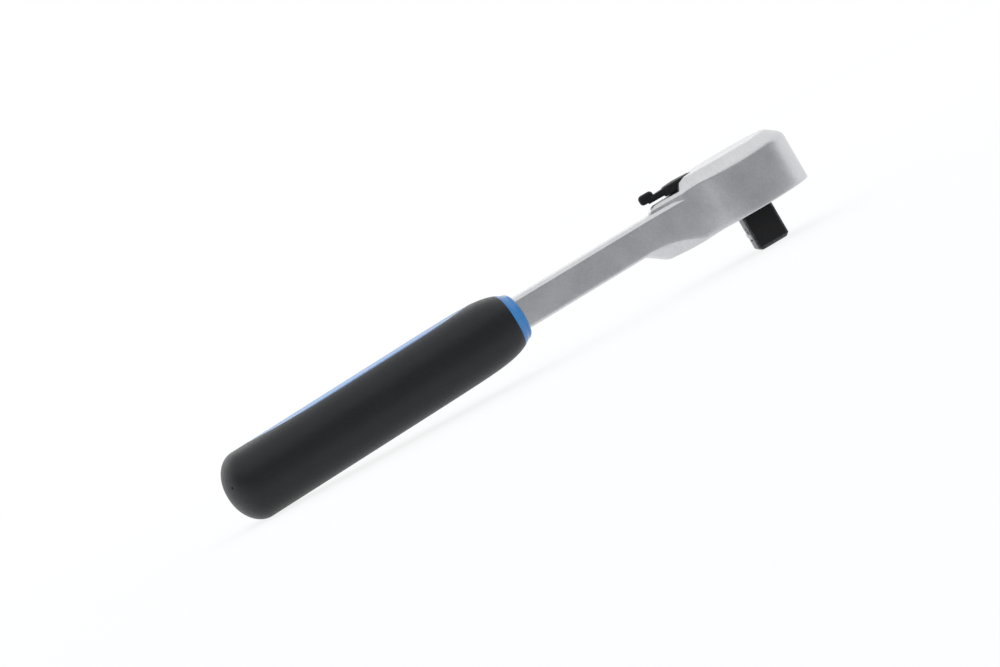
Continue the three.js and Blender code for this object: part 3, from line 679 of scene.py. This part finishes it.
body = meshObject("forgedBody", forgingShell(forging))
tangMiddle = tangBox["pivot"][1]
tangPlan = boxOutline(tangBox["end"], forging["neckEnd"] + tangBox["overlap"], tangBox["half"])
tangPoints, tangFaces = stackedShell([
    (tangMiddle + side * tangBox["thick"] / 2, tangPlan) for side in (-1, 1)])
joined(body, "UNION", (leaned(tangPoints), tangFaces))
hubSpot = (leverRoom["pivot"], 0)
pocketSpot = (leverRoom["pivot"] + leverRoom["ahead"], 0)
pawlHalf = np.array(gearRoom["pawl"])
pawlPlan = np.concatenate([pawlHalf, pawlHalf[::-1] * [1, -1]])
coverHole = hullOutline(
    coverRoom["radius"] + coverRoom["gap"], coverRoom["tailRadius"] + coverRoom["gap"], coverRoom["tail"])
roomFoot = gearRoom["floor"] - over
coverFoot = forging["bottom"] - forging["sag"][0] - over
joined(
    body, "DIFFERENCE",
    post(leverRoom["hub"], forging["shelf"], forging["top"] + 2 * over, pocketSpot),
    post(leverRoom["shaft"], roomFoot, forging["top"], hubSpot, leverRoom["shaftSides"]),
    post(leverRoom["keeper"], roomFoot, gearRoom["boreTop"], hubSpot),
    post(gearRoom["journal"], roomFoot, gearRoom["journalTop"]),
    stackedShell([(roomFoot, pawlPlan), (gearRoom["boreTop"], pawlPlan)]),
    post(gearRoom["bore"], coverFoot, gearRoom["boreTop"]),
    stackedShell([(coverFoot, coverHole), (gearRoom["floor"], coverHole)]))
finishPiece(body, "frame", ["ratchet_body"], chromeSatin, sharp=28)


# square drive, wheel and journals
drive = {
    "half": 6.35, "edge": 0.9, "edgeSteps": 7, "bevel": 1.1, "bevelRound": 0.25, "bevelSteps": 5,
    "tipInset": 3.0, "top": 16.0, "turn": -10.0,
    "teeth": 48, "tip": 12.4, "root": 11.55, "land": 0.25, "gear": (17.8, 29.8),
    "lower": 9.2, "lowerFoot": 15.3, "shoulder": (18.6, 18.8), "upper": 7.6, "upperTop": 33.3,
    "groove": (30.95, 32.15, 6.4), "ballBore": 2.7, "ballHeight": 7.0,
    "boreEnds": (-9.0, 4.45), "boreSides": 48,
}


# square section with rounded corners, drawn in by an inset
def squareRing(d, inset):
    h = d["half"] - inset
    corners = [[h, -h], [h, h], [-h, h], [-h, -h]]
    return roundCorners(corners, d["edge"], d["edgeSteps"], True)


# teeth as a closed outline: root and tip points repeated round the wheel
def toothRing(d):
    pitch = 2 * np.pi / d["teeth"]
    tipHalf = d["land"] / 2 / d["tip"]
    turn = np.array([-(pitch / 2 - tipHalf), -tipHalf, tipHalf, pitch / 2 - tipHalf])
    r = np.array([d["root"], d["tip"], d["tip"], d["root"]])
    t = (np.arange(d["teeth"])[:, None] * pitch + turn).ravel()
    return np.column_stack([np.tile(r, d["teeth"]) * np.cos(t), np.tile(r, d["teeth"]) * np.sin(t)])


tipProfile = roundCorners([
    [drive["tipInset"], 0.0], [drive["bevel"], 0.0], [0.0, drive["bevel"]], [0.0, drive["top"]]],
    drive["bevelRound"], drive["bevelSteps"])
squareBar = stackedShell([(z, squareRing(drive, inset)) for inset, z in tipProfile])
driveHead = meshObject("driveAndWheel", placed(squareBar, drive["turn"]))
grooveLow, grooveHigh, grooveRadius = drive["groove"]
journals = turnedShell([
    (drive["lower"], drive["lowerFoot"]), (drive["lower"], drive["shoulder"][0]),
    (drive["upper"], drive["shoulder"][1]), (drive["upper"], grooveLow), (grooveRadius, grooveLow),
    (grooveRadius, grooveHigh), (drive["upper"], grooveHigh), (drive["upper"], drive["upperTop"])])
joined(driveHead, "UNION", journals, stackedShell([(z, toothRing(drive)) for z in drive["gear"]]))
ballHole = lyingPost(drive["ballBore"], drive["ballHeight"], drive["boreEnds"], drive["boreSides"])
joined(driveHead, "DIFFERENCE", placed(ballHole, drive["turn"]))
finishPiece(driveHead, "drive", ["drive_gear"], steelBlack)

ball = {"radius": 2.4, "centre": (-4.95, 0.0, 7.0), "rows": 33, "sides": 48}
ballSkin = ballShell(ball["radius"], ball["centre"], ball["rows"], ball["sides"])
socketBall = meshObject("socketBall", placed(ballSkin, drive["turn"]))
finishPiece(socketBall, "ball", ["detent_ball"], steelBright)


# cover plate and its screws, rimMiddle is the share of the rim's inset and the height half way round it
cover = {
    "low": 15.05, "high": 17.5, "rim": 0.35, "rimMiddle": (0.3, 0.1), "bore": 9.5,
    "screwHead": 3.0, "screwShank": 1.8, "cone": 1.2, "sinkSides": 48,
}
screw = {
    "low": 15.4, "head": 2.7, "shank": 1.5, "cone": 1.2, "length": 9.0, "rim": 0.25,
    "rimMiddle": (0.3, 0.06), "sides": 40, "socket": 1.1, "socketTop": 16.4, "socketTurn": 0.2,
}
screwSpots = {
    "cover_screw_front_left": (10.748, 10.748), "cover_screw_front_right": (10.748, -10.748),
    "cover_screw_tail": (-30.1, 0.0),
}


# plan outline of the cover drawn in by an inset
def coverLevel(inset):
    return hullOutline(coverRoom["radius"] - inset, coverRoom["tailRadius"] - inset, coverRoom["tail"])


rimShare, rimHeight = cover["rimMiddle"]
plate = meshObject("coverPlate", stackedShell([
    (cover["low"], coverLevel(cover["rim"])),
    (cover["low"] + rimHeight, coverLevel(cover["rim"] * rimShare)),
    (cover["low"] + cover["rim"], coverLevel(0.0)), (cover["high"], coverLevel(0.0))]))
countersinks = [turnedShell([
    (cover["screwHead"], cover["low"] - over), (cover["screwHead"], screw["low"]),
    (cover["screwShank"], screw["low"] + cover["cone"]), (cover["screwShank"], cover["high"] + over)],
    cover["sinkSides"], spot) for spot in screwSpots.values()]
joined(plate, "DIFFERENCE", post(cover["bore"], cover["low"] - over, cover["high"] + over), *countersinks)
finishPiece(plate, "frame", ["bottom_cover"], steelCover)

hexagon = np.linspace(0, 2 * np.pi, 6, endpoint=False) + screw["socketTurn"]
rimShare, rimHeight = screw["rimMiddle"]
screwLine = np.array([
    (screw["head"] - screw["rim"], 0.0), (screw["head"] - screw["rim"] * rimShare, rimHeight),
    (screw["head"], screw["rim"]), (screw["shank"], screw["cone"] + screw["rim"] / 2),
    (screw["shank"], screw["length"])]) + [0, screw["low"]]
for node, spot in screwSpots.items():
    socket = np.add(spot, screw["socket"] * np.column_stack([np.cos(hexagon), np.sin(hexagon)]))
    fastener = joined(
        meshObject("sunk_" + node, turnedShell(screwLine, screw["sides"], spot)), "DIFFERENCE",
        stackedShell([(screw["low"] - over, socket), (screw["socketTop"], socket)]))
    finishPiece(fastener, "frame", [node], steelScrew)


# reversing lever: domed hub, tapered arm, thumb knob and the shaft below
lever = {
    "pivot": -22.2, "turn": -20.0, "hub": 6.05, "cam": 1.25, "hubLow": 35.4, "hubHigh": 39.0,
    "hubFoot": (0.6, 0.2), "dome": 0.4, "domeBend": (0.3, 0.8), "hubRound": 1.0, "hubSteps": 7,
    "hubSides": 88, "pole": 0.05,
    "armLow": 36.05, "rootHigh": 38.8, "tipHigh": 38.3, "armLength": 11.2, "armHalf": 2.2, "rootHalf": 4.8,
    "armEase": 1.6, "armRound": 0.6, "armSteps": 6, "armRows": 24,
    "knobHalfLength": 3.0, "knobHalfWidth": 2.3, "knobLow": 36.5, "knobHigh": 40.35, "knobRound": 1.4,
    "knobRows": 8, "knobSteps": 20, "shaft": 2.8, "shaftSides": 40, "shaftLow": 17.8, "shaftHigh": 36.4,
    "shaftChamfer": 0.3, "groove": (28.85, 29.95, 2.2), "bore": 1.35, "boreHeight": 23.65,
    "boreEnds": (-2.1, 4.0), "boreSides": 28,
}


# rounded box section swept along the arm, half width easing and height falling from root to tip
def armShell(v):
    s = np.linspace(0, 1, v["armRows"])
    half = v["rootHalf"] + (v["armHalf"] - v["rootHalf"]) * (1 - (1 - s) ** v["armEase"])
    high = v["rootHigh"] + (v["tipHigh"] - v["rootHigh"]) * s
    rows = []
    for w, h, x in zip(half, high, -v["armLength"] * s):
        corners = [[-w, v["armLow"]], [w, v["armLow"]], [w, h], [-w, h]]
        box = roundCorners(corners, v["armRound"], v["armSteps"], True)
        rows.append(np.column_stack([np.full(len(box), x), box]))
    return ringShell(np.stack(rows)[::-1])


# capsule outline drawn in by an inset that follows a quarter circle at the top and bottom edges
def knobShell(v):
    r = v["knobRound"]
    a = np.linspace(0, np.pi / 2, v["knobRows"])
    inset = np.concatenate([r * (1 - np.sin(a)), r * (1 - np.cos(a))])
    z = np.concatenate([v["knobLow"] + r * (1 - np.cos(a)), v["knobHigh"] - r * (1 - np.sin(a))])
    t = np.linspace(-np.pi / 2, np.pi / 2, v["knobSteps"])
    run = v["knobHalfLength"] - v["knobHalfWidth"]
    w = (v["knobHalfWidth"] - inset)[:, None]
    x = np.concatenate([run + w * np.cos(t), -run - w * np.cos(t)], 1) - v["armLength"]
    y = np.concatenate([w * np.sin(t), -w * np.sin(t)], 1)
    return ringShell(np.stack([x, y, np.repeat(z[:, None], 2 * len(t), 1)], -1))


# shell made about the lever's own pivot, turned and moved to its place
def atLever(shell):
    return placed(shell, lever["turn"], lever["pivot"])


# hub profile carried round the pivot, its radius scaled by 1 + (cam / hub) cos, fuller in front
footIn, footUp = lever["hubFoot"]
bendIn, bendUp = lever["domeBend"]
hubEdge = roundCorners([
    [lever["hub"] - footIn, lever["hubLow"]], [lever["hub"], lever["hubLow"] + footUp],
    [lever["hub"], lever["hubHigh"]], [lever["hub"] * bendIn, lever["hubHigh"] + lever["dome"] * bendUp],
    [lever["pole"], lever["hubHigh"] + lever["dome"]]], lever["hubRound"], lever["hubSteps"])
hubPoints, hubFaces = turnedShell(hubEdge, lever["hubSides"])
reach = 1 + lever["cam"] / lever["hub"] * np.cos(np.arctan2(hubPoints[:, 1], hubPoints[:, 0]))
hubPoints[:, :2] *= reach[:, None]
grooveLow, grooveHigh, grooveRadius = lever["groove"]
shaftLine = [
    (lever["shaft"] - lever["shaftChamfer"], lever["shaftLow"]),
    (lever["shaft"], lever["shaftLow"] + lever["shaftChamfer"]), (lever["shaft"], grooveLow),
    (grooveRadius, grooveLow), (grooveRadius, grooveHigh), (lever["shaft"], grooveHigh),
    (lever["shaft"], lever["shaftHigh"])]
flip = meshObject("reversingLever", atLever((hubPoints, hubFaces)))
shaft = turnedShell(shaftLine, lever["shaftSides"])
joined(flip, "UNION", atLever(armShell(lever)), atLever(knobShell(lever)), atLever(shaft))
plungerBore = lyingPost(lever["bore"], lever["boreHeight"], lever["boreEnds"], lever["boreSides"])
joined(flip, "DIFFERENCE", atLever(plungerBore))
finishPiece(flip, "lever", ["reversing_lever"], leverBlack)


# handle: half height along the axis, section a rounded square a little wider than high; slab is the low,
# high, half width and run past the front of the block that cuts out the collar, gate is the pit's radius,
# centre, rows and sides, and rows are those of the rear, the side and the lip
handle = {
    "rear": -223.88, "front": -98.2, "gripFront": -102.8, "high": 13.5, "drop": 5.7, "ease": 6.0,
    "rearLength": 9.7, "wide": 1.18, "power": 2.3, "middle": 26.2, "wall": 2.6, "seam": 0.05,
    "frontRound": 2.0, "gate": (0.55, (-221.95, -9.12, 29.27), 17, 24),
    "inlay": (-207.0, -112.5, 7.3), "inlayEnds": (34.0, 26.0), "inlaySteps": 48,
    "slab": (-20.0, 80.0, 40.0, 2.0), "proud": 1.0, "tangGap": 0.3, "neckRun": 60.0, "pole": 0.02,
    "rows": (28, 90, 7), "sides": 144,
}


# handle skin: half height h at x is an ellipse at the rear, then high - drop exp((x - front) / ease),
# section |y / (wide h)|^n + |z / h|^n = 1
def handleShell(h, inset):
    rearRows, sideRows, lipRows = h["rows"]
    a = np.linspace(0, np.pi / 2, rearRows)[1:]
    end = np.column_stack([
        h["rear"] + inset + (h["rearLength"] - inset) * (1 - np.cos(a)), (h["high"] - inset) * np.sin(a)])
    start = h["rear"] + h["rearLength"]
    last = h["front"] - h["frontRound"]
    x = start + (last - start) * (1 - (1 - np.linspace(0, 1, sideRows)[1:]) ** 2)
    side = np.column_stack([x, h["high"] - inset - h["drop"] * np.exp((x - h["front"]) / h["ease"])])
    b = np.linspace(0, np.pi / 2, lipRows)[1:]
    lip = np.column_stack([
        last + h["frontRound"] * np.sin(b), side[-1, 1] - h["frontRound"] * (1 - np.cos(b))])
    line = np.concatenate([[[h["rear"] + inset, h["pole"]]], end, side, lip])
    t = np.linspace(0, 2 * np.pi, h["sides"], endpoint=False)
    stretch = (np.abs(np.cos(t)) ** h["power"] + np.abs(np.sin(t)) ** h["power"]) ** (-1 / h["power"])
    y = line[:, 1:] * (stretch * np.cos(t) * h["wide"])[None]
    z = h["middle"] + line[:, 1:] * (stretch * np.sin(t))[None]
    return ringShell(np.stack([np.repeat(line[:, :1], h["sides"], 1), y, z], -1))


# outline of the inlay: straight sides and half an ellipse at each end, the rear one longer
def inlayOutline(h, grow):
    rear, front, half = h["inlay"]
    long, short = h["inlayEnds"]
    t = np.linspace(-np.pi / 2, np.pi / 2, h["inlaySteps"])
    nose = np.column_stack([front - short + (short + grow) * np.cos(t), (half + grow) * np.sin(t)])
    back = np.column_stack([rear + long - (long + grow) * np.cos(t), -(half + grow) * np.sin(t)])
    return np.concatenate([nose, back])


# blue moulding before its tang hole: inner skin, collar slab and top inlay cut from an outer skin
def coreForm(name, h, outerInset, grow):
    low, high, half, past = h["slab"]
    pill = inlayOutline(h, grow)
    slab = boxOutline(h["gripFront"] - grow, h["front"] + past, half)
    collar = meshObject(name + "Collar", handleShell(h, outerInset))
    joined(collar, "INTERSECT", stackedShell([(low, slab), (high, slab)]))
    inlay = meshObject(name + "Inlay", handleShell(h, outerInset))
    joined(inlay, "INTERSECT", stackedShell([(h["middle"], pill), (high, pill)]))
    return meshObject(name, handleShell(h, h["wall"] - grow)), [collar, inlay]


# points of a piece's mesh, in mm
def meshPoints(piece):
    points = np.empty(len(piece.data.vertices) * 3)
    piece.data.vertices.foreach_get("co", points)
    return points.reshape(-1, 3) / mm


# boolean with other objects, which are used up
def joinedWith(piece, operation, others):
    for tool in others:
        joined(piece, operation, (meshPoints(tool), [list(p.vertices) for p in tool.data.polygons]))
        bpy.data.meshes.remove(tool.data)


# the handle's lean put into a piece's own points
def leanObject(piece):
    piece.data.vertices.foreach_set("co", (leaned(meshPoints(piece)) * mm).ravel())
    piece.data.update()


core, coreAdds = coreForm("blueCore", handle, 0.0, 0.0)
joinedWith(core, "UNION", coreAdds)
tangGap = handle["tangGap"]
tangHigh = tangBox["thick"] / 2 + tangGap
tangRoom = boxOutline(tangBox["end"] - tangGap, forging["neckEnd"], tangBox["half"] + tangGap)
joined(core, "DIFFERENCE", stackedShell([(tangMiddle + side * tangHigh, tangRoom) for side in (-1, 1)]))
leanObject(core)
neckHalf, neckLow, neckHigh = forging["neckHalf"], forging["neckLow"], forging["neckHigh"]
neckFoot, neckChamfer = forging["neckFoot"], forging["neckChamfer"]
neckSide = np.array([
    [neckHalf - neckFoot, neckLow], [neckHalf, neckLow + neckFoot],
    [neckHalf, neckHigh - neckChamfer], [neckHalf - neckChamfer, neckHigh]])
neckRing = np.concatenate([neckSide, neckSide[::-1] * [-1, 1]])
neckRing = neckRing + np.sign(neckRing - [0, tangMiddle]) * tangGap
neckEnds = (forging["neckEnd"] - tangGap, forging["neckEnd"] + handle["neckRun"])
neckRoom = np.stack([np.column_stack([np.full(len(neckRing), x), neckRing]) for x in neckEnds])
joined(core, "DIFFERENCE", ringShell(neckRoom))
finishPiece(core, "frame", ["handle_core"], plasticBlue, sharp=40)

grip = meshObject("gripShell", handleShell(handle, 0.0))
room, roomAdds = coreForm("gripRoom", handle, -handle["proud"], handle["seam"])
joinedWith(grip, "DIFFERENCE", [room, *roomAdds])
joined(grip, "DIFFERENCE", ballShell(*handle["gate"]))  # pit left by the mould's gate
leanObject(grip)
finishPiece(grip, "frame", ["grip_shell"], rubberSoft, sharp=40)
print("pieces made")


# CAD nodes that stay as they are get their finish
keptNodes = {
    "drag_ring": rubberRing, "detent_spring": steelSpring, "pawl": steelBright, "pawl_pin": steelBright,
    "pawl_plunger": steelBright, "plunger_spring": steelSpring, "lever_retaining_ring": steelSpring,
}
for node, finish in keptNodes.items():
    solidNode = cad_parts[node]
    solidNode.data.materials.clear()
    solidNode.data.materials.append(finish)
print("inner pieces finished")


# white floor under the square's tip and the grip's rear, which the tool rests on: matt paper with a share
# of plain white, so that it stays pale and keeps a faint shadow
floorSheet = {
    "lean": 2.879, "touch": -5.94, "size": (2400.0, 900.0, 1500.0), "drop": 0.02, "white": 0.84,
    "colour": "#f6fafd",
}


# height of the floor at x: it rises toward the grip at the slope of its lean
def floorHeight(s, x):
    return (s["touch"] - x) * math.tan(math.radians(s["lean"]))


# one for rays from the camera and those mirrored or let through, nought for the light that fills
def seenRays(tree):
    path = addNode(tree, "ShaderNodeLightPath")
    near = addNode(tree, "ShaderNodeMath", {
        0: path.outputs["Is Camera Ray"], 1: path.outputs["Is Glossy Ray"]}, operation="MAXIMUM")
    seen = addNode(tree, "ShaderNodeMath", {
        0: near.outputs[0], 1: path.outputs["Is Transmission Ray"]}, operation="MAXIMUM")
    return seen.outputs[0]


# one flat sheet, its corners at the floor's height
def makeFloor(s):
    width, front, rear = s["size"]
    x = np.array([-width, width, width, -width])
    y = np.array([-front, -front, rear, rear])
    corners = np.column_stack([x, y, floorHeight(s, x) - s["drop"]])
    floor = meshObject("floorSheet", (corners, [[0, 1, 2, 3]]))
    if floor.data.polygons[0].normal.z < 0:
        floor.data.flip_normals()
    material, tree = emptyMaterial("paperWhiteMatt")
    share = addNode(tree, "ShaderNodeMath", {0: seenRays(tree), 1: s["white"]}, operation="MULTIPLY")
    paper = addNode(tree, "ShaderNodeBsdfDiffuse", {"Color": hexColour(s["colour"])})
    glow = addNode(tree, "ShaderNodeEmission", {"Color": (1, 1, 1, 1), "Strength": 1.0})
    mix = addNode(tree, "ShaderNodeMixShader", {
        0: share.outputs[0], 1: paper.outputs[0], 2: glow.outputs[0]})
    addNode(tree, "ShaderNodeOutputMaterial", {"Surface": mix.outputs[0]})
    floor.data.materials.append(material)
    floor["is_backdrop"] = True


makeFloor(floorSheet)

# grey card round the camera and on the floor before the tool, which only the mirroring of the steel sees
greyCard = {
    "radius": 1900.0, "from": -200.0, "to": -2.0, "low": -250.0, "high": 1300.0, "steps": 40,
    "sheet": (-2000.0, 1500.0, -1900.0, -70.0), "lift": 1.0, "colour": "#b0afad",
}


# arc of a cylinder about the tool, x = r cos, y = r sin, straight upward, and a flat sheet over the floor
def makeCard(s):
    t = np.radians(np.linspace(s["from"], s["to"], s["steps"]))
    row = s["radius"] * np.column_stack([np.cos(t), np.sin(t)])
    grid = np.stack([np.column_stack([row, np.full(len(t), z)]) for z in (s["low"], s["high"])])
    x0, x1, y0, y1 = s["sheet"]
    x = np.array([x0, x1, x1, x0])
    y = np.array([y0, y0, y1, y1])
    sheet = np.column_stack([x, y, s["lift"] + floorHeight(floorSheet, x)])
    bent = (grid.reshape(-1, 3), gridFaces(2, len(t), False))
    card = meshObject("greyCard", bent, (sheet, [[0, 1, 2, 3]]))
    material, tree = emptyMaterial("cardGreyMatt")
    paint = addNode(tree, "ShaderNodeBsdfDiffuse", {"Color": hexColour(s["colour"])})
    addNode(tree, "ShaderNodeOutputMaterial", {"Surface": paint.outputs[0]})
    card.data.materials.append(material)
    card.visible_camera = False
    card.visible_diffuse = False
    card.visible_shadow = False
    card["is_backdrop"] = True


makeCard(greyCard)

# white studio: full white where seen or mirrored, softer as fill
studio = {"fill": 0.98, "tint": "#f7f9ff"}
world = bpy.data.worlds.new("studio")
scene.world = world
world.use_nodes = True
tree = world.node_tree
tree.nodes.clear()
seen = seenRays(tree)
fill = addNode(tree, "ShaderNodeBackground", {
    "Color": hexColour(studio["tint"]), "Strength": studio["fill"]})
white = addNode(tree, "ShaderNodeBackground", {"Color": (1, 1, 1, 1), "Strength": 1.0})
mix = addNode(tree, "ShaderNodeMixShader", {0: seen, 1: fill.outputs[0], 2: white.outputs[0]})
addNode(tree, "ShaderNodeOutputWorld", {"Surface": mix.outputs[0]})

# soft boxes: place, aim and size in mm, power in watts; only the strip shows in glossy surfaces
softBoxes = {
    "rearTop": {
        "at": (-100, 1150, 950), "aim": (-90, -20, 10), "size": (1500, 1000),
        "power": 3.3, "mirrored": False},
    "rearStrip": {
        "at": (-100, 1300, 700), "aim": (-90, -20, 10), "size": (1500, 260),
        "power": 1.3, "mirrored": True},
    "noseSide": {
        "at": (950, 300, 420), "aim": (0, 0, 25), "size": (700, 700),
        "power": 0.5, "mirrored": False},
}
for name, s in softBoxes.items():
    lamp = bpy.data.lights.new(name, "AREA")
    lamp.shape = "RECTANGLE"
    lamp.size, lamp.size_y = s["size"][0] * mm, s["size"][1] * mm
    lamp.energy = s["power"]
    holder = bpy.data.objects.new(name, lamp)
    holder.location = Vector(s["at"]) * mm
    holder.rotation_euler = (Vector(s["aim"]) - Vector(s["at"])).to_track_quat("-Z", "Y").to_euler()
    holder.visible_glossy = s["mirrored"]
    scene.collection.objects.link(holder)
print("studio lit")

bpy.context.view_layer.update()
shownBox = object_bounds()
for label, box in (("cad box", cadBox), ("visual box", shownBox)):
    print(label, [tuple(round(c, 4) for c in v) for v in box])
